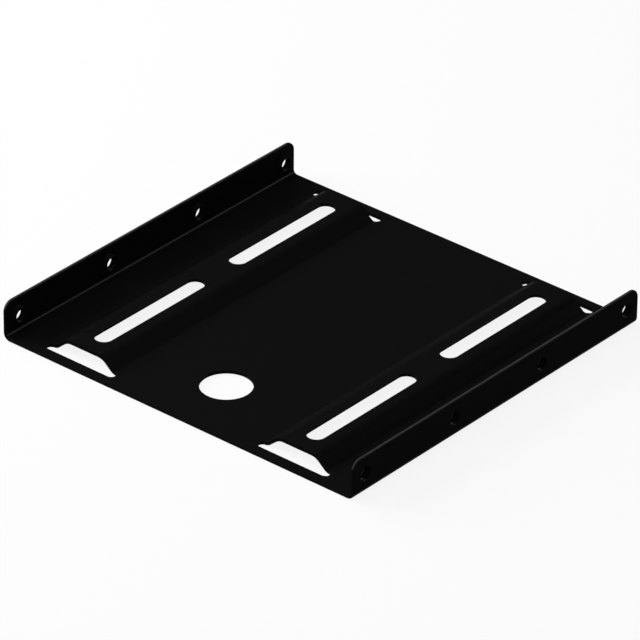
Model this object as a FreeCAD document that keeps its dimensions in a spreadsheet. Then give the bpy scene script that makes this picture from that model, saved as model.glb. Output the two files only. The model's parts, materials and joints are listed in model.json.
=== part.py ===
import FreeCAD, Part
import math
import os
import Sketcher
from enum import IntEnum

# A bracket that carries a 2.5 inch drive in a 3.5 inch drive bay, folded from one sheet of steel.
# +X runs across to the right flange, +Y from the front edge (finger hole) to the back, +Z up.
# The origin is on the underside, at the middle of the plate. All sizes are in millimetres.

SIZES = {
    # The folded sheet
    "bay_width": 101.6,
    "bracket_length": 98.0,
    "flange_height": 9.5,
    "sheet_thickness": 0.8,
    "bend_radius": 1.0,
    "flange_corner": 2.5,
    # The two ribs, lanced at their ends and pressed up out of the plate, that the drive rests on
    "rib_spacing": 61.72,
    "rib_flat": 8.0,
    "rib_rise": 2.7,
    "rib_slope": 40.0,
    "rib_crown_bend": 3.1,
    "rib_foot_bend": 1.4,
    "end_strip": 2.6,
    "lance_gap": 2.3,
    "lance_overrun": 0.85,
    # The slots along the ribs, for the drive's bottom screws
    "slot_width": 4.4,
    "slot_end_land": 4.2,
    "slot_bridge": 10.4,
    # The round hole in the plate, near the front edge
    "finger_hole": 12.0,
    "finger_hole_setback": 17.0,
    # The tapped holes in the flanges, drawn inwards into collars
    "side_hole_pitch": 30.0,
    "side_hole_edge": 3.6,
    "side_hole_height": 5.1,
    "side_hole_core": 2.8,
    "collar_reach": 1.0,
    "collar_wall": 0.6,
    "entry_radius": 0.6,
    "entry_depth": 0.55,
}

# Sizes that follow from those above
FOOT_WIDTH = "(rib_section.Constraints.foot_width / 1 mm)"
RIB_LENGTH = "(Sizes.bracket_length - 2 * (Sizes.end_strip + Sizes.lance_gap))"
SLOT_LENGTH = f"(({RIB_LENGTH} - 2 * Sizes.slot_end_land - Sizes.slot_bridge) / 2)"
COLLAR_RIM = "(Sizes.bay_width / 2 - Sizes.sheet_thickness - Sizes.collar_reach)"
SIDE_HOLE_STEPS = "floor((Sizes.bracket_length - 2 * Sizes.side_hole_edge) / Sizes.side_hole_pitch)"


class Axis(IntEnum):
    """The numbers of a sketch's own axes."""
    ACROSS = -1
    UPRIGHT = -2


class Point(IntEnum):
    """The numbers of the points of an edge."""
    START = 1
    END = 2
    CENTRE = 3


ORIGIN = (Axis.ACROSS, Point.START)

doc = FreeCAD.newDocument("drive_bracket")
sheet = doc.addObject("Spreadsheet::Sheet", "Sizes")
for row, (alias, value) in enumerate(SIZES.items(), start=1):
    sheet.set(f"A{row}", alias)
    sheet.set(f"B{row}", str(value))
    sheet.setAlias(f"B{row}", alias)
doc.recompute()

body = doc.addObject("PartDesign::Body", "drive_bracket")
body.Label = "drive_bracket"


def value_of(expression):
    """What an expression in the sheet's sizes comes to."""
    return float(sheet.evalExpression(expression))


def datum(role):
    """The body's own plane or axis of that role."""
    return next(each for each in body.Origin.OriginFeatures if each.Role == role)


def new_sketch(name, plane):
    sketch = body.newObject("Sketcher::SketchObject", name)
    sketch.AttachmentSupport = (datum(plane), [""])
    sketch.MapMode = "FlatFace"
    return sketch


def line(start, end):
    return Part.LineSegment(FreeCAD.Vector(*start, 0), FreeCAD.Vector(*end, 0))


def arc(centre, radius, first, last):
    """A counter-clockwise arc between two angles in degrees."""
    circle = Part.Circle(FreeCAD.Vector(*centre, 0), FreeCAD.Vector(0, 0, 1), radius)
    return Part.ArcOfCircle(circle, math.radians(first), math.radians(last))


def shared_ends(first, second):
    """Which end of each of two neighbouring edges they have in common."""
    ends = {Point.START: "StartPoint", Point.END: "EndPoint"}
    pairs = [(a, b) for a in ends for b in ends]
    return min(pairs, key=lambda p: (getattr(first, ends[p[0]]) - getattr(second, ends[p[1]])).Length)


def draw_outline(sketch, edges, corners=()):
    """Draw a closed outline of named edges, and return their numbers in the sketch by name.

    Arcs run smoothly into the next edge, apart from the corners, each named by the edge before it.
    """
    names = list(edges)
    ids = dict(zip(names, sketch.addGeometry(list(edges.values()), False)))
    for before, after in zip(names, names[1:] + names[:1]):
        end_a, end_b = shared_ends(edges[before], edges[after])
        has_arc = isinstance(edges[before], Part.ArcOfCircle) or isinstance(edges[after], Part.ArcOfCircle)
        kind = "Tangent" if has_arc and before not in corners else "Coincident"
        rule(sketch, kind, ids[before], end_a, ids[after], end_b)
    return ids


def rule(sketch, kind, *where):
    sketch.addConstraint(Sketcher.Constraint(kind, *where))


def dimension(sketch, name, expression, kind, *where):
    """A named dimension that follows an expression in the sheet's sizes. Angles are in degrees."""
    value = value_of(expression)
    if kind == "Angle":
        value = math.radians(value)
        expression = f"{expression} * 1 deg"
    index = sketch.addConstraint(Sketcher.Constraint(kind, *where, value))
    sketch.renameConstraint(index, name)
    sketch.setExpression(f"Constraints.{name}", expression)


def add_feature(kind, name, sketch, **settings):
    feature = body.newObject(f"PartDesign::{kind}", name)
    feature.Profile = sketch
    for setting, value in settings.items():
        setattr(feature, setting, value)
    sketch.Visibility = False
    return feature


def cut_through(name, sketch):
    """Cut upwards from the underside, through everything above the sketch."""
    before = body.Shape.Volume
    pocket = add_feature("Pocket", name, sketch, Type="ThroughAll", Reversed=True)
    doc.recompute()
    if body.Shape.Volume >= before:
        raise RuntimeError(f"{name} cuts nothing")
    return pocket


def fold_sheet():
    """The plate and its two upright flanges, as one folded section along the bracket's length."""
    half = value_of("Sizes.bay_width / 2")
    top = value_of("Sizes.flange_height")
    wall = value_of("Sizes.sheet_thickness")
    inner = value_of("Sizes.bend_radius")
    outer = inner + wall
    right = (half - outer, outer)
    left = (-half + outer, outer)
    sketch = new_sketch("folded_section", "XZ_Plane")
    edge = draw_outline(sketch, {
        "underside": line((-half + outer, 0), (half - outer, 0)),
        "right_bend": arc(right, outer, -90, 0),
        "right_outside": line((half, outer), (half, top)),
        "right_top": line((half, top), (half - wall, top)),
        "right_inside": line((half - wall, top), (half - wall, outer)),
        "right_fold": arc(right, inner, -90, 0),
        "upper_face": line((half - outer, wall), (-half + outer, wall)),
        "left_fold": arc(left, inner, 180, 270),
        "left_inside": line((-half + wall, outer), (-half + wall, top)),
        "left_top": line((-half + wall, top), (-half, top)),
        "left_outside": line((-half, top), (-half, outer)),
        "left_bend": arc(left, outer, 180, 270),
    })
    for name in ("underside", "right_top", "upper_face", "left_top"):
        rule(sketch, "Horizontal", edge[name])
    for name in ("right_outside", "right_inside", "left_inside", "left_outside"):
        rule(sketch, "Vertical", edge[name])
    rule(sketch, "Coincident", edge["right_bend"], Point.CENTRE, edge["right_fold"], Point.CENTRE)
    rule(sketch, "Coincident", edge["left_bend"], Point.CENTRE, edge["left_fold"], Point.CENTRE)
    rule(sketch, "Equal", edge["right_fold"], edge["left_fold"])
    rule(sketch, "PointOnObject", edge["underside"], Point.START, Axis.ACROSS)
    rule(sketch, "Symmetric",
         edge["right_outside"], Point.END, edge["left_outside"], Point.START, Axis.UPRIGHT)
    dimension(sketch, "width", "Sizes.bay_width", "DistanceX",
              edge["left_outside"], Point.START, edge["right_outside"], Point.END)
    dimension(sketch, "height", "Sizes.flange_height", "DistanceY", *ORIGIN, edge["right_outside"], Point.END)
    dimension(sketch, "thickness", "Sizes.sheet_thickness", "DistanceX",
              edge["right_top"], Point.END, edge["right_top"], Point.START)
    dimension(sketch, "fold_radius", "Sizes.bend_radius", "Radius", edge["right_fold"])
    pad = add_feature("Pad", "folded_sheet", sketch, SideType="Symmetric")
    pad.setExpression("Length", "Sizes.bracket_length")
    doc.recompute()
    return pad


def round_flange_corners(pad):
    """Round the upper corners of both flanges, at the front and at the back."""
    top = value_of("Sizes.flange_height")
    end = value_of("Sizes.bracket_length / 2")

    def at_corner(edge):
        middle = edge.CenterOfMass
        return math.isclose(middle.z, top, abs_tol=1e-6) and math.isclose(abs(middle.y), end, abs_tol=1e-6)

    names = [f"Edge{n}" for n, edge in enumerate(pad.Shape.Edges, start=1) if at_corner(edge)]
    fillet = body.newObject("PartDesign::Fillet", "flange_corners")
    fillet.Base = (pad, names)
    fillet.setExpression("Radius", "Sizes.flange_corner")
    doc.recompute()


def rib_section():
    """The right rib's section: the sheet rises from the plate and rounds over softly to a flat crown."""
    middle = value_of("Sizes.rib_spacing / 2")
    crown = value_of("Sizes.rib_flat / 2")
    rise = value_of("Sizes.rib_rise")
    wall = value_of("Sizes.sheet_thickness")
    slope = value_of("Sizes.rib_slope")
    crown_under = value_of("Sizes.rib_crown_bend")
    crown_over = crown_under + wall
    foot_over = value_of("Sizes.rib_foot_bend")
    foot_under = foot_over + wall
    lean = math.radians(slope)
    bends = crown_under + foot_under
    straight_rise = rise - bends * (1 - math.cos(lean))
    foot = crown + bends * math.sin(lean) + straight_rise / math.tan(lean)

    def around(centre, radius, angle):
        turn = math.radians(angle)
        return (centre[0] + radius * math.cos(turn), centre[1] + radius * math.sin(turn))

    foot_left = (middle - foot, foot_under)
    foot_right = (middle + foot, foot_under)
    crown_left = (middle - crown, rise - crown_under)
    crown_right = (middle + crown, rise - crown_under)
    up = 90 + slope
    down = 90 - slope
    sketch = new_sketch("rib_section", "XZ_Plane")
    edge = draw_outline(sketch, {
        "foot_left_under": arc(foot_left, foot_under, 270, 270 + slope),
        "slope_left_under": line(around(foot_left, foot_under, up + 180),
                                 around(crown_left, crown_under, up)),
        "crown_left_under": arc(crown_left, crown_under, 90, up),
        "crown_under": line((middle - crown, rise), (middle + crown, rise)),
        "crown_right_under": arc(crown_right, crown_under, down, 90),
        "slope_right_under": line(around(crown_right, crown_under, down),
                                  around(foot_right, foot_under, down + 180)),
        "foot_right_under": arc(foot_right, foot_under, 270 - slope, 270),
        "seam_right": line((middle + foot, 0), (middle + foot, wall)),
        "foot_right_over": arc(foot_right, foot_over, 270 - slope, 270),
        "slope_right_over": line(around(foot_right, foot_over, down + 180),
                                 around(crown_right, crown_over, down)),
        "crown_right_over": arc(crown_right, crown_over, down, 90),
        "crown_over": line((middle + crown, rise + wall), (middle - crown, rise + wall)),
        "crown_left_over": arc(crown_left, crown_over, 90, up),
        "slope_left_over": line(around(crown_left, crown_over, up),
                                around(foot_left, foot_over, up + 180)),
        "foot_left_over": arc(foot_left, foot_over, 270, 270 + slope),
        "seam_left": line((middle - foot, wall), (middle - foot, 0)),
    }, corners=("foot_right_under", "seam_right", "foot_left_over", "seam_left"))
    for side in ("left", "right"):
        rule(sketch, "Vertical", edge[f"seam_{side}"])
        for bend in ("foot", "crown"):
            rule(sketch, "Coincident",
                 edge[f"{bend}_{side}_under"], Point.CENTRE, edge[f"{bend}_{side}_over"], Point.CENTRE)
    rule(sketch, "PointOnObject", edge["foot_left_under"], Point.CENTRE, edge["seam_left"])
    rule(sketch, "PointOnObject", edge["foot_right_under"], Point.CENTRE, edge["seam_right"])
    rule(sketch, "PointOnObject", edge["foot_left_under"], Point.START, Axis.ACROSS)
    rule(sketch, "PointOnObject", edge["foot_right_under"], Point.END, Axis.ACROSS)
    rule(sketch, "Horizontal", edge["crown_under"])
    rule(sketch, "Horizontal", edge["crown_over"])
    rule(sketch, "Equal", edge["crown_left_under"], edge["crown_right_under"])
    rule(sketch, "Equal", edge["foot_left_over"], edge["foot_right_over"])
    rule(sketch, "Equal", edge["seam_left"], edge["seam_right"])
    dimension(sketch, "place", "Sizes.rib_spacing / 2 - Sizes.rib_flat / 2", "DistanceX",
              *ORIGIN, edge["crown_under"], Point.START)
    dimension(sketch, "flat", "Sizes.rib_flat", "DistanceX",
              edge["crown_under"], Point.START, edge["crown_under"], Point.END)
    dimension(sketch, "rise", "Sizes.rib_rise", "DistanceY", *ORIGIN, edge["crown_under"], Point.START)
    dimension(sketch, "crown_bend", "Sizes.rib_crown_bend", "Radius", edge["crown_left_under"])
    dimension(sketch, "foot_bend", "Sizes.rib_foot_bend", "Radius", edge["foot_left_over"])
    dimension(sketch, "foot_thickness", "Sizes.sheet_thickness", "DistanceY",
              edge["seam_left"], Point.END, edge["seam_left"], Point.START)
    dimension(sketch, "crown_thickness", "Sizes.sheet_thickness", "DistanceY",
              edge["crown_under"], Point.START, edge["crown_over"], Point.END)
    dimension(sketch, "slope_left", "Sizes.rib_slope", "Angle",
              Axis.ACROSS, Point.START, edge["slope_left_under"], Point.START)
    dimension(sketch, "slope_right", "Sizes.rib_slope", "Angle",
              edge["slope_right_under"], Point.END, Axis.ACROSS, Point.END)
    feet = (edge["foot_left_under"], Point.START, edge["foot_right_under"], Point.END)
    index = sketch.addConstraint(Sketcher.Constraint("DistanceX", *feet, 2 * foot, False))
    sketch.renameConstraint(index, "foot_width")
    doc.recompute()
    return sketch


def draw_rounded_slot(sketch, name, middle, length, width, along):
    """A slot with round ends, its middle given by two expressions from the origin, each with its side."""
    (x_side, x_place), (y_side, y_place) = middle
    radius = value_of(width) / 2
    half = value_of(length) / 2 - radius
    lengthwise = FreeCAD.Vector(1, 0) if along == "X" else FreeCAD.Vector(0, 1)
    turn = math.degrees(math.atan2(lengthwise.y, lengthwise.x))
    centre = FreeCAD.Vector(x_side * value_of(x_place), y_side * value_of(y_place))
    offset = FreeCAD.Vector(-lengthwise.y, lengthwise.x) * radius
    far = centre + lengthwise * half
    near = centre - lengthwise * half

    def flat(point):
        return (point.x, point.y)

    edge = draw_outline(sketch, {
        "side_a": line(flat(near - offset), flat(far - offset)),
        "far_end": arc(flat(far), radius, turn - 90, turn + 90),
        "side_b": line(flat(far + offset), flat(near + offset)),
        "near_end": arc(flat(near), radius, turn + 90, turn + 270),
    })
    rule(sketch, "Horizontal" if along == "X" else "Vertical", edge["side_a"])
    rule(sketch, "Equal", edge["far_end"], edge["near_end"])
    dimension(sketch, f"{name}_radius", f"{width} / 2", "Radius", edge["far_end"])
    dimension(sketch, f"{name}_span", f"{length} - {width}", f"Distance{along}",
              edge["near_end"], Point.CENTRE, edge["far_end"], Point.CENTRE)
    middle_point = sketch.addGeometry(Part.Point(centre), True)
    rule(sketch, "Symmetric",
         edge["near_end"], Point.CENTRE, edge["far_end"], Point.CENTRE, middle_point, Point.START)
    for axis, side, place in (("X", x_side, x_place), ("Y", y_side, y_place)):
        ends = [ORIGIN, (middle_point, Point.START)][::side]
        dimension(sketch, f"{name}_{axis}", place, f"Distance{axis}", *ends[0], *ends[1])


def press_rib(section):
    """Open the plate under the right rib, and let the pressed section bridge the opening."""
    middle = value_of("Sizes.rib_spacing / 2")
    half_width = value_of(FOOT_WIDTH) / 2
    half_length = value_of(RIB_LENGTH) / 2
    corners = [(middle + x * half_width, y * half_length) for x, y in ((-1, -1), (1, -1), (1, 1), (-1, 1))]
    sketch = new_sketch("rib_opening", "XY_Plane")
    edge = draw_outline(sketch, {
        "front": line(corners[0], corners[1]),
        "right": line(corners[1], corners[2]),
        "back": line(corners[2], corners[3]),
        "left": line(corners[3], corners[0]),
    })
    for name in ("front", "back"):
        rule(sketch, "Horizontal", edge[name])
    rule(sketch, "Vertical", edge["left"])
    rule(sketch, "Symmetric", edge["right"], Point.START, edge["right"], Point.END, Axis.ACROSS)
    dimension(sketch, "width", FOOT_WIDTH, "DistanceX", edge["front"], Point.START, edge["front"], Point.END)
    dimension(sketch, "length", RIB_LENGTH, "DistanceY", edge["right"], Point.START, edge["right"], Point.END)
    dimension(sketch, "place", f"Sizes.rib_spacing / 2 - {FOOT_WIDTH} / 2", "DistanceX",
              *ORIGIN, edge["front"], Point.START)
    doc.recompute()
    opening = cut_through("rib_opening_cut", sketch)
    rib = add_feature("Pad", "rib", section, SideType="Symmetric")
    rib.setExpression("Length", RIB_LENGTH)
    doc.recompute()
    return [opening, rib]


def lance_rib_ends():
    """The gaps that part the rib's ends from the strips of plate in front of it and behind it."""
    across = f"({FOOT_WIDTH} + 2 * Sizes.lance_overrun)"
    place = "(Sizes.bracket_length / 2 - Sizes.end_strip - Sizes.lance_gap / 2)"
    sketch = new_sketch("lance_gaps", "XY_Plane")
    for name, side in (("front", -1), ("back", 1)):
        middle = ((1, "Sizes.rib_spacing / 2"), (side, place))
        draw_rounded_slot(sketch, name, middle, across, "Sizes.lance_gap", "X")
    doc.recompute()
    return cut_through("lance_cuts", sketch)


def slot_rib():
    """The two long slots along the rib's crown."""
    place = f"({SLOT_LENGTH} / 2 + Sizes.slot_bridge / 2)"
    sketch = new_sketch("rib_slots", "XY_Plane")
    for name, side in (("front", -1), ("back", 1)):
        middle = ((1, "Sizes.rib_spacing / 2"), (side, place))
        draw_rounded_slot(sketch, name, middle, SLOT_LENGTH, "Sizes.slot_width", "Y")
    doc.recompute()
    return cut_through("rib_slot_cuts", sketch)


def mirror_rib(features):
    """The left rib, with all that is cut in it."""
    mirror = body.newObject("PartDesign::Mirrored", "left_rib")
    mirror.Originals = features
    mirror.MirrorPlane = (datum("YZ_Plane"), [""])
    body.Tip = mirror
    doc.recompute()


def cut_finger_hole():
    sketch = new_sketch("finger_hole_outline", "XY_Plane")
    place = "Sizes.bracket_length / 2 - Sizes.finger_hole_setback"
    centre = FreeCAD.Vector(0, -value_of(place))
    circle = sketch.addGeometry(
        Part.Circle(centre, FreeCAD.Vector(0, 0, 1), value_of("Sizes.finger_hole / 2")), False)
    rule(sketch, "PointOnObject", circle, Point.CENTRE, Axis.UPRIGHT)
    dimension(sketch, "diameter", "Sizes.finger_hole", "Diameter", circle)
    dimension(sketch, "setback", place, "DistanceY", circle, Point.CENTRE, *ORIGIN)
    doc.recompute()
    cut_through("finger_hole_cut", sketch)


def side_hole_sketch(name):
    """A sketch across the bracket through the front pair of side holes, its X axis along the holes."""
    sketch = new_sketch(name, "XZ_Plane")
    sketch.setExpression("AttachmentOffset.Base.y", "Sizes.side_hole_height")
    sketch.setExpression("AttachmentOffset.Base.z", f"{SIDE_HOLE_STEPS} * Sizes.side_hole_pitch / 2")
    return sketch


def draw_collar(sketch, name, side):
    """Half of the section of a collar, which stands on a flange's inner face."""
    face = side * value_of("Sizes.bay_width / 2 - Sizes.sheet_thickness")
    rim = face - side * value_of("Sizes.collar_reach")
    bore = value_of("Sizes.side_hole_core / 2")
    outside = bore + value_of("Sizes.collar_wall")
    edge = draw_outline(sketch, {
        "bore": line((rim, bore), (face, bore)),
        "face": line((face, bore), (face, outside)),
        "outside": line((face, outside), (rim, outside)),
        "rim": line((rim, outside), (rim, bore)),
    })
    for level in ("bore", "outside"):
        rule(sketch, "Horizontal", edge[level])
    for upright in ("face", "rim"):
        rule(sketch, "Vertical", edge[upright])
    dimension(sketch, f"{name}_face", "Sizes.bay_width / 2 - Sizes.sheet_thickness", "DistanceX",
              *outwards(side, edge["face"], Point.START))
    dimension(sketch, f"{name}_rim", COLLAR_RIM, "DistanceX", *outwards(side, edge["rim"], Point.START))
    dimension(sketch, f"{name}_bore", "Sizes.side_hole_core / 2", "DistanceY",
              *ORIGIN, edge["bore"], Point.START)
    dimension(sketch, f"{name}_wall", "Sizes.collar_wall", "DistanceY",
              edge["rim"], Point.END, edge["rim"], Point.START)


def draw_bore(sketch, name, side):
    """Half of the section of a hole: the sheet rolls over into it on the outer face, then comes the core."""
    mouth = side * value_of("Sizes.bay_width / 2")
    rim = side * value_of(COLLAR_RIM)
    bore = value_of("Sizes.side_hole_core / 2")
    entry = value_of("Sizes.entry_radius")
    depth = value_of("Sizes.entry_depth")
    core_start = mouth - side * depth
    turn = math.asin(depth / entry)
    mouth_radius = bore + entry * (1 - math.cos(turn))
    sweep = (270, 270 + side * math.degrees(turn))
    edge = draw_outline(sketch, {
        "axis": line((rim, 0), (mouth, 0)),
        "mouth": line((mouth, 0), (mouth, mouth_radius)),
        "entry": arc((core_start, bore + entry), entry, *sorted(sweep)),
        "bore": line((core_start, bore), (rim, bore)),
        "rim": line((rim, bore), (rim, 0)),
    }, corners=("mouth",))
    for level in ("axis", "bore"):
        rule(sketch, "Horizontal", edge[level])
    for upright in ("mouth", "rim"):
        rule(sketch, "Vertical", edge[upright])
    rule(sketch, "PointOnObject", edge["axis"], Point.START, Axis.ACROSS)
    dimension(sketch, f"{name}_mouth", "Sizes.bay_width / 2", "DistanceX",
              *outwards(side, edge["mouth"], Point.START))
    dimension(sketch, f"{name}_core_start", "Sizes.bay_width / 2 - Sizes.entry_depth", "DistanceX",
              *outwards(side, edge["bore"], Point.START))
    dimension(sketch, f"{name}_rim", COLLAR_RIM, "DistanceX", *outwards(side, edge["rim"], Point.START))
    dimension(sketch, f"{name}_bore", "Sizes.side_hole_core / 2", "DistanceY",
              *ORIGIN, edge["bore"], Point.START)
    dimension(sketch, f"{name}_entry", "Sizes.entry_radius", "Radius", edge["entry"])


def outwards(side, edge, point):
    """A point and the origin, in the order that makes its distance across the bracket positive."""
    return (*ORIGIN, edge, point) if side > 0 else (edge, point, *ORIGIN)


def draw_side_holes():
    """Tapped holes at an even pitch along both flanges, drawn inwards for more thread."""
    features = []
    for kind, name, draw in (("Revolution", "collars", draw_collar), ("Groove", "bores", draw_bore)):
        sketch = side_hole_sketch(f"{name}_section")
        for side_name, side in (("left", -1), ("right", 1)):
            draw(sketch, side_name, side)
        doc.recompute()
        feature = add_feature(kind, name, sketch, ReferenceAxis=(sketch, ["H_Axis"]), Angle=360)
        doc.recompute()
        features.append(feature)
    pattern = body.newObject("PartDesign::LinearPattern", "side_holes")
    pattern.Originals = features
    pattern.Direction = (datum("Y_Axis"), [""])
    pattern.setExpression("Length", f"{SIDE_HOLE_STEPS} * Sizes.side_hole_pitch")
    pattern.setExpression("Occurrences", f"{SIDE_HOLE_STEPS} + 1")
    body.Tip = pattern
    doc.recompute()


def require_sound(objects):
    """Stop unless every object of the document came out whole."""
    for each in objects:
        if {"Invalid", "Error"} & set(each.State):
            raise RuntimeError(f"{each.Name} failed: {each.getStatusString()}")
    if body.Shape.isNull() or not body.Shape.isValid() or len(body.Shape.Solids) != 1:
        raise RuntimeError("the bracket is not one sound solid")


round_flange_corners(fold_sheet())
right_rib = press_rib(rib_section())
right_rib.append(lance_rib_ends())
right_rib.append(slot_rib())
mirror_rib(right_rib)
cut_finger_hole()
draw_side_holes()

doc.recompute()
require_sound(doc.Objects)
os.makedirs("parts", exist_ok=True)
body.Shape.exportStep(f"parts/{body.Label}.step")
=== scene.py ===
import json
import math

import bmesh
import bpy
from mathutils import Matrix, Vector


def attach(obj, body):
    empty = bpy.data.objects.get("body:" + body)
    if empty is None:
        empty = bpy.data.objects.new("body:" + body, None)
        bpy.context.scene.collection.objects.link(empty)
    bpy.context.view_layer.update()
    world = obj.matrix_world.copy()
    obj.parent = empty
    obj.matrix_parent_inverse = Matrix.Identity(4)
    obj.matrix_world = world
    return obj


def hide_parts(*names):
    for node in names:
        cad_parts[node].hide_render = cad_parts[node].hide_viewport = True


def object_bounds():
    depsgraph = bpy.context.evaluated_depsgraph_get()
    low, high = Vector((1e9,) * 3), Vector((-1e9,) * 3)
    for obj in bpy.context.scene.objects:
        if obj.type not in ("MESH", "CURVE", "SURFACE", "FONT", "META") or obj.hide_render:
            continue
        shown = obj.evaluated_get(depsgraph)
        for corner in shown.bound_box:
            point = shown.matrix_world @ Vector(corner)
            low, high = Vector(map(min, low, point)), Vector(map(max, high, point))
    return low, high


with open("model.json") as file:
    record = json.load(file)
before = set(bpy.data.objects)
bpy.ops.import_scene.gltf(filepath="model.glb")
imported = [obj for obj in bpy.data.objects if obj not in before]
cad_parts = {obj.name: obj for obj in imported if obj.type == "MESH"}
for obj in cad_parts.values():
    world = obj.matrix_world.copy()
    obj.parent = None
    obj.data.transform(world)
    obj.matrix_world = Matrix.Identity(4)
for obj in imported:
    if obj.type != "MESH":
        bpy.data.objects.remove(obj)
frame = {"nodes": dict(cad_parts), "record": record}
cad_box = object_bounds()

MM = 0.001
Y_AXIS = (0, 1, 0)
Z_AXIS = (0, 0, 1)
HALF_WIDTH, HALF_LENGTH, FLANGE_TOP = cad_box[1]

# The solid's triangles are welded and its flat faces made whole before its edges are rounded
WELD = 0.0005 * MM
FLAT_ANGLE = math.radians(0.2)
# The sheared edges of the sheet, rounded by the press and by the coat on them: the outline and the openings
OUTLINE_ROUNDING = 0.25 * MM
OPENING_ROUNDING = 0.18 * MM
ROUNDING_STEPS = 4
EDGE_ANGLE = math.radians(35)
# The outline's edges lie this near the outside of the bracket, and a side hole's this near its middle
OUTLINE_DEPTH = 1.0 * MM
SIDE_HOLE_REACH = 3.2 * MM
# How far the lance cuts lie from the middle of the bracket: their fine edges stay sharp
LANCE_NEAR = 43.9 * MM
LANCE_FAR = 46.6 * MM
LANCE_SIDE = 40.5 * MM
# Faces shade smoothly into each other below this angle, and large faces lead
SMOOTH_ANGLE = math.radians(30)
FACE_WEIGHT = 100

# The thread in the side holes, in radii: 32 turns to the inch, as is usual in drive bays
INCH = 25.4
TURNS_PER_INCH = 32
THREAD_PITCH = INCH / TURNS_PER_INCH * MM
THREAD_ROOT = 3.5 / 2 * MM
TAP_CORE = 2.74 / 2 * MM
CREST_SHARE = 0.12
TAP_TURNS = 5
SPARE_TURNS = 2
TAP_STEPS = 40
TAP_WELD = 0.001 * MM
# Where the rod is cut off, in turns: between two steps of the thread, so that no vertex lies on the cut
TAP_START = 1.015

# The powder coat: the size and height of its orange peel and grain, and the patches where its sheen shifts
COAT_BLACK = "#121212"
PEEL_SIZE = 0.9 * MM
PEEL_HEIGHT = 0.02 * MM
PEEL_DETAIL = 2.0
GRAIN_SIZE = 0.25 * MM
GRAIN_HEIGHT = 0.008 * MM
GRAIN_DETAIL = 1.0
RELIEF = 0.25
PATCH_SIZE = 14 * MM
PATCH_DETAIL = 3.0
SHINIEST = 0.27
DULLEST = 0.33
SHEEN = 0.003
# A painted highlight along the flange tops, in a lighter grey: how far inside their rim it begins and is
# full, and how high on the round corners, above their centres, it sets in and is full
PAINTED_HIGHLIGHT_GREY = "#3a3a3c"
FLANGE_CORNER = 2.5 * MM
HIGHLIGHT_BEGINS = 0.04 * MM
HIGHLIGHT_FULL = 0.005 * MM
CORNER_HIGHLIGHT_BEGINS = 0.6 * MM
CORNER_HIGHLIGHT_FULL = 1.4 * MM

# The paper of the floor, as it is seen and as it lights the bracket, and the part of its white that no
# shadow dims
PAPER_SEEN = "#f6f6f6"
PAPER_BOUNCE = "#989898"
WHITE = "#ffffff"
PAPER_GLOW = 0.87
FLOOR_SIZE = 6.0
FLOOR_DROP = 0.05 * MM

# The sockets of a Mix node that mixes colours
MIX_SHARE = 0
MIX_FROM = 6
MIX_TO = 7
MIX_RESULT = 2

# The camera, fitted to the edges in the photograph: angles in degrees, lengths in millimetres
CAMERA_AZIMUTH = 40.24
CAMERA_ELEVATION = 30.93
CAMERA_ROLL = 0.513
CAMERA_DISTANCE = 1498.5
CAMERA_AIM = (-1.065, 0.825, 2.198)
CAMERA_LENS = 379.2
SENSOR_WIDTH = 36.0
NEAREST_SEEN = 10 * MM

FILL_LIGHT = 0.2


def linear(hex_colour):
    """A linear RGBA colour from an sRGB hex value."""
    values = [int(hex_colour[i:i + 2], 16) / 255 for i in (1, 3, 5)]
    return [v / 12.92 if v <= 0.04045 else ((v + 0.055) / 1.055) ** 2.4 for v in values] + [1.0]


def add_node(tree, kind, sockets=None, **settings):
    """Add a node, set its properties, and set or link its input sockets."""
    node = tree.nodes.new(kind)
    for name, value in settings.items():
        setattr(node, name, value)
    for socket, value in (sockets or {}).items():
        if isinstance(value, bpy.types.NodeSocket):
            tree.links.new(value, node.inputs[socket])
        else:
            node.inputs[socket].default_value = value
    return node


def new_material(name):
    material = bpy.data.materials.new(name)
    material.use_nodes = True
    material.node_tree.nodes.clear()
    return material, material.node_tree


def painted_highlight_flange_tops(tree, place):
    """The flange tops, round their corners too, where a highlight is painted in a lighter grey: 1 there,
    else 0.
    """
    axes = add_node(tree, "ShaderNodeSeparateXYZ", {"Vector": place})
    along = add_node(tree, "ShaderNodeMath", {0: axes.outputs["Y"]}, operation="ABSOLUTE")
    past_corner = add_node(tree, "ShaderNodeMath", {
        0: along.outputs["Value"],
        1: HALF_LENGTH - FLANGE_CORNER,
    }, operation="SUBTRACT")
    towards_end = add_node(tree, "ShaderNodeMath", {
        0: past_corner.outputs["Value"],
        1: 0.0,
    }, operation="MAXIMUM")
    towards_top = add_node(tree, "ShaderNodeMath", {
        0: axes.outputs["Z"],
        1: FLANGE_TOP - FLANGE_CORNER,
    }, operation="SUBTRACT")
    outwards = add_node(tree, "ShaderNodeCombineXYZ", {
        "Y": towards_end.outputs["Value"],
        "Z": towards_top.outputs["Value"],
    })
    reach = add_node(tree, "ShaderNodeVectorMath", {0: outwards.outputs["Vector"]}, operation="LENGTH")
    rim = add_node(tree, "ShaderNodeMapRange", {
        "Value": reach.outputs["Value"],
        "From Min": FLANGE_CORNER - HIGHLIGHT_BEGINS,
        "From Max": FLANGE_CORNER - HIGHLIGHT_FULL,
    })
    high = add_node(tree, "ShaderNodeMapRange", {
        "Value": towards_top.outputs["Value"],
        "From Min": CORNER_HIGHLIGHT_BEGINS,
        "From Max": CORNER_HIGHLIGHT_FULL,
    })
    return add_node(tree, "ShaderNodeMath", {
        0: rim.outputs["Result"],
        1: high.outputs["Result"],
    }, operation="MULTIPLY").outputs["Value"]


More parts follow.
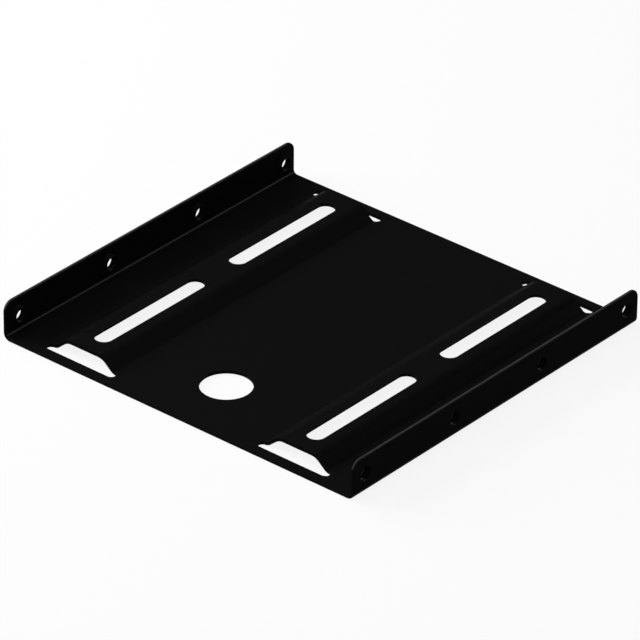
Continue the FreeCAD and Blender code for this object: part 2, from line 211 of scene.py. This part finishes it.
def satin_black_powder_coat():
    """Polyester powder baked on steel: near black, with a soft sheen that a faint orange peel breaks up."""
    material, tree = new_material("satin_black_powder_coat")
    place = add_node(tree, "ShaderNodeTexCoord").outputs["Object"]
    peel = add_node(tree, "ShaderNodeTexNoise", {
        "Vector": place,
        "Scale": 1 / PEEL_SIZE,
        "Detail": PEEL_DETAIL,
    })
    grain = add_node(tree, "ShaderNodeTexNoise", {
        "Vector": place,
        "Scale": 1 / GRAIN_SIZE,
        "Detail": GRAIN_DETAIL,
    })
    patches = add_node(tree, "ShaderNodeTexNoise", {
        "Vector": place,
        "Scale": 1 / PATCH_SIZE,
        "Detail": PATCH_DETAIL,
    })
    peeled = add_node(tree, "ShaderNodeBump", {
        "Height": peel.outputs["Fac"],
        "Strength": RELIEF,
        "Distance": PEEL_HEIGHT,
    })
    grained = add_node(tree, "ShaderNodeBump", {
        "Height": grain.outputs["Fac"],
        "Strength": RELIEF,
        "Distance": GRAIN_HEIGHT,
        "Normal": peeled.outputs["Normal"],
    })
    dullness = add_node(tree, "ShaderNodeMapRange", {
        "Value": patches.outputs["Fac"],
        "To Min": SHINIEST,
        "To Max": DULLEST,
    })
    # A painted highlight: the coat's black is mixed towards a lighter grey along the flange tops
    colour = add_node(tree, "ShaderNodeMix", {
        MIX_SHARE: painted_highlight_flange_tops(tree, place),
        MIX_FROM: linear(COAT_BLACK),
        MIX_TO: linear(PAINTED_HIGHLIGHT_GREY),
    }, data_type="RGBA")
    coat = add_node(tree, "ShaderNodeBsdfPrincipled", {
        "Base Color": colour.outputs[MIX_RESULT],
        "Roughness": dullness.outputs["Result"],
        "Normal": grained.outputs["Normal"],
        "Specular IOR Level": SHEEN,
    })
    add_node(tree, "ShaderNodeOutputMaterial", {"Surface": coat.outputs["BSDF"]})
    return material


def pale_paper():
    """Matt pale paper: the camera and reflections see it nearly at full white, under a faint shadow, and it
    throws only a little light back on the flanges."""
    material, tree = new_material("pale_paper")
    path = add_node(tree, "ShaderNodeLightPath")
    mirrored = add_node(tree, "ShaderNodeMath", {
        0: path.outputs["Is Camera Ray"],
        1: path.outputs["Is Glossy Ray"],
    }, operation="ADD")
    seen = add_node(tree, "ShaderNodeMath", {
        0: mirrored.outputs["Value"],
        1: path.outputs["Is Transmission Ray"],
    }, operation="ADD", use_clamp=True)
    share = add_node(tree, "ShaderNodeMath", {
        0: seen.outputs["Value"],
        1: PAPER_GLOW,
    }, operation="MULTIPLY")
    colour = add_node(tree, "ShaderNodeMix", {
        MIX_SHARE: seen.outputs["Value"],
        MIX_FROM: linear(PAPER_BOUNCE),
        MIX_TO: linear(PAPER_SEEN),
    }, data_type="RGBA")
    paper = add_node(tree, "ShaderNodeBsdfDiffuse", {"Color": colour.outputs[MIX_RESULT]})
    glow = add_node(tree, "ShaderNodeEmission", {"Color": linear(WHITE), "Strength": 1.0})
    mix = add_node(tree, "ShaderNodeMixShader", {
        0: share.outputs["Value"],
        1: paper.outputs["BSDF"],
        2: glow.outputs["Emission"],
    })
    add_node(tree, "ShaderNodeOutputMaterial", {"Surface": mix.outputs["Shader"]})
    return material


def make_active(piece):
    bpy.ops.object.select_all(action="DESELECT")
    piece.select_set(True)
    bpy.context.view_layer.objects.active = piece


def apply_modifier(piece, kind, **settings):
    modifier = piece.modifiers.new(kind.lower(), kind)
    for name, value in settings.items():
        setattr(modifier, name, value)
    make_active(piece)
    bpy.ops.object.modifier_apply(modifier=modifier.name)


def thread_tap():
    """A threaded rod along +Z, as long as its turns, with its middle at the origin."""
    bpy.ops.object.select_all(action="DESELECT")
    bpy.ops.mesh.primitive_plane_add(size=THREAD_PITCH)
    tap = bpy.context.object
    tap.name = "thread_tap"
    crest = CREST_SHARE * THREAD_PITCH
    flank = THREAD_PITCH / 2 - crest
    depth = THREAD_ROOT - TAP_CORE
    bpy.ops.object.mode_set(mode="EDIT")
    bpy.ops.mesh.select_mode(type="VERT")
    bpy.ops.mesh.select_all(action="SELECT")
    bpy.ops.mesh.merge(type="CENTER")
    bpy.ops.transform.translate(value=(TAP_CORE, 0, 0))
    for step in ((depth, 0, flank), (0, 0, crest), (-depth, 0, flank), (0, 0, crest)):
        bpy.ops.mesh.extrude_region_move(TRANSFORM_OT_translate={"value": step})
    bpy.ops.object.mode_set(mode="OBJECT")
    apply_modifier(tap, "SCREW", screw_offset=THREAD_PITCH, iterations=TAP_TURNS + SPARE_TURNS,
                   steps=TAP_STEPS, render_steps=TAP_STEPS)
    bpy.ops.object.mode_set(mode="EDIT")
    bpy.ops.mesh.select_all(action="SELECT")
    bpy.ops.mesh.remove_doubles(threshold=TAP_WELD)
    for turns, direction in ((TAP_START, -1), (TAP_START + TAP_TURNS, 1)):
        bpy.ops.mesh.select_all(action="SELECT")
        bpy.ops.mesh.bisect(plane_co=(0, 0, turns * THREAD_PITCH), plane_no=(0, 0, direction),
                            use_fill=True, clear_outer=True, threshold=WELD)
    bpy.ops.mesh.select_all(action="SELECT")
    bpy.ops.mesh.normals_make_consistent(inside=False)
    bpy.ops.transform.translate(value=(0, 0, -(TAP_START + TAP_TURNS / 2) * THREAD_PITCH))
    bpy.ops.object.mode_set(mode="OBJECT")
    return tap


def side_holes():
    """Where the tapped holes are, from the frame's own mounts, and the way that each faces."""
    for mount in frame["record"]["mounts"]:
        if mount["name"].endswith("_side_holes"):
            half_pitch = mount["dims"]["spacing_x_mm"] / 2 * MM
            for side in (-1, 1):
                yield Vector(mount["pos_m"]) + side * half_pitch * Vector(Y_AXIS), Vector(mount["axis"])


def tap_side_holes(bracket):
    """Cut the thread into every side hole."""
    tap = thread_tap()
    taps = []
    for place, outwards in side_holes():
        copy = bpy.data.objects.new("tap", tap.data.copy())
        turn = Vector(Z_AXIS).rotation_difference(outwards).to_matrix().to_4x4()
        copy.data.transform(Matrix.Translation(place) @ turn)
        bpy.context.scene.collection.objects.link(copy)
        taps.append(copy)
    make_active(taps[0])
    for copy in taps:
        copy.select_set(True)
    bpy.ops.object.join()
    apply_modifier(bracket, "BOOLEAN", operation="DIFFERENCE", solver="EXACT", object=taps[0])
    bpy.data.objects.remove(taps[0])
    bpy.data.objects.remove(tap)


def in_lance_cut(place):
    """Whether a point is at the cut-free end of a rib."""
    return LANCE_NEAR < abs(place.y) < LANCE_FAR and abs(place.x) < LANCE_SIDE


def in_side_hole(place):
    """Whether a point is on a side hole, its collar or its round entry."""
    return any((place - hole).length < SIDE_HOLE_REACH for hole, outwards in side_holes())


def on_outline(place):
    """Whether a point is on the outer edges of the sheet, flanges included."""
    outside = abs(place.x) > HALF_WIDTH - OUTLINE_DEPTH or abs(place.y) > HALF_LENGTH - OUTLINE_DEPTH
    return outside and not in_side_hole(place)


def in_opening(place):
    """Whether a point is on a slot, the finger hole or a side hole."""
    return not on_outline(place) and not in_lance_cut(place)


def round_edges(bracket, chosen, rounding):
    """Round the sharp edges that lie in a chosen part of the bracket."""
    make_active(bracket)
    bpy.ops.object.mode_set(mode="EDIT")
    bpy.ops.mesh.select_mode(type="EDGE")
    bpy.ops.mesh.select_all(action="DESELECT")
    bpy.ops.mesh.edges_select_sharp(sharpness=EDGE_ANGLE)
    mesh = bmesh.from_edit_mesh(bracket.data)
    for edge in mesh.edges:
        if edge.select and not all(chosen(vertex.co) for vertex in edge.verts):
            edge.select_set(False)
    mesh.select_flush_mode()
    bmesh.update_edit_mesh(bracket.data)
    bpy.ops.mesh.bevel(offset=rounding, segments=ROUNDING_STEPS, affect="EDGES", clamp_overlap=False)
    bpy.ops.object.mode_set(mode="OBJECT")


def coated_bracket(cad):
    """The folded sheet under its coat: the solid's form, its sheared edges rounded, its holes tapped."""
    bracket = bpy.data.objects.new("coated_bracket", cad.data.copy())
    bpy.context.scene.collection.objects.link(bracket)
    make_active(bracket)
    bpy.ops.mesh.customdata_custom_splitnormals_clear()
    bpy.ops.object.mode_set(mode="EDIT")
    bpy.ops.mesh.select_all(action="SELECT")
    bpy.ops.mesh.remove_doubles(threshold=WELD)
    bpy.ops.mesh.dissolve_limited(angle_limit=FLAT_ANGLE)
    bpy.ops.object.mode_set(mode="OBJECT")
    round_edges(bracket, on_outline, OUTLINE_ROUNDING)
    round_edges(bracket, in_opening, OPENING_ROUNDING)
    tap_side_holes(bracket)
    make_active(bracket)
    bpy.ops.object.shade_smooth_by_angle(angle=SMOOTH_ANGLE)
    apply_modifier(bracket, "WEIGHTED_NORMAL", keep_sharp=True, weight=FACE_WEIGHT)
    bracket.data.materials.clear()
    bracket.data.materials.append(satin_black_powder_coat())
    return bracket


def camera_at_photo_angle():
    """A camera with a long lens, turned by its roll about the line of sight."""
    azimuth = math.radians(CAMERA_AZIMUTH)
    elevation = math.radians(CAMERA_ELEVATION)
    roll = math.radians(CAMERA_ROLL)
    back = Vector((math.sin(azimuth) * math.cos(elevation),
                   -math.cos(azimuth) * math.cos(elevation),
                   math.sin(elevation)))
    level = Vector(Z_AXIS).cross(back).normalized()
    upright = back.cross(level)
    right = level * math.cos(roll) + upright * math.sin(roll)
    up = upright * math.cos(roll) - level * math.sin(roll)
    place = (Vector(CAMERA_AIM) + back * CAMERA_DISTANCE) * MM
    data = bpy.data.cameras.new("photo_camera")
    data.lens = CAMERA_LENS
    data.sensor_width = SENSOR_WIDTH
    data.clip_start = NEAREST_SEEN
    camera = bpy.data.objects.new("photo_camera", data)
    camera.matrix_world = Matrix.Translation(place) @ Matrix((right, up, back)).transposed().to_4x4()
    bpy.context.scene.collection.objects.link(camera)
    bpy.context.scene.camera = camera


def floor():
    """A wide sheet of paper, a hair under the bracket."""
    bpy.ops.object.select_all(action="DESELECT")
    bpy.ops.mesh.primitive_plane_add(size=FLOOR_SIZE, location=(0, 0, -FLOOR_DROP))
    plane = bpy.context.object
    plane.name = "floor"
    plane.data.materials.append(pale_paper())


def softbox(name, towards, distance, width, height, power):
    """An oblong area light that faces the bracket from the given direction, in metres and watts."""
    data = bpy.data.lights.new(name, "AREA")
    data.shape = "RECTANGLE"
    data.size = width
    data.size_y = height
    data.energy = power
    lamp = bpy.data.objects.new(name, data)
    direction = Vector(towards).normalized()
    lamp.location = direction * distance
    lamp.rotation_euler = direction.to_track_quat("Z", "Y").to_euler()
    bpy.context.scene.collection.objects.link(lamp)
    return lamp


def studio():
    """A low panel on the left and a dim one overhead light the coat, with an even fill all round.
    A strip on the right adds only a gleam along the folds."""
    world = bpy.data.worlds.new("studio")
    world.use_nodes = True
    world.node_tree.nodes.clear()
    fill = add_node(world.node_tree, "ShaderNodeBackground", {
        "Color": linear(WHITE),
        "Strength": FILL_LIGHT,
    })
    add_node(world.node_tree, "ShaderNodeOutputWorld", {"Surface": fill.outputs["Background"]})
    bpy.context.scene.world = world
    softbox("left_panel", towards=(-0.9, -0.2, 0.42), distance=0.6, width=0.5, height=0.5, power=4.6)
    softbox("top_panel", towards=(0.05, -0.35, 0.93), distance=0.8, width=0.6, height=0.6, power=2.0)
    strip = softbox("right_strip", towards=(0.66, 0.655, 0.36), distance=1.0, width=0.45, height=0.14,
                    power=38.0)
    strip.visible_diffuse = False


bpy.context.scene.view_settings.view_transform = "Standard"
bracket = coated_bracket(frame["nodes"]["drive_bracket"])
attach(bracket, "root")
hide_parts("drive_bracket")
floor()
studio()
camera_at_photo_angle()
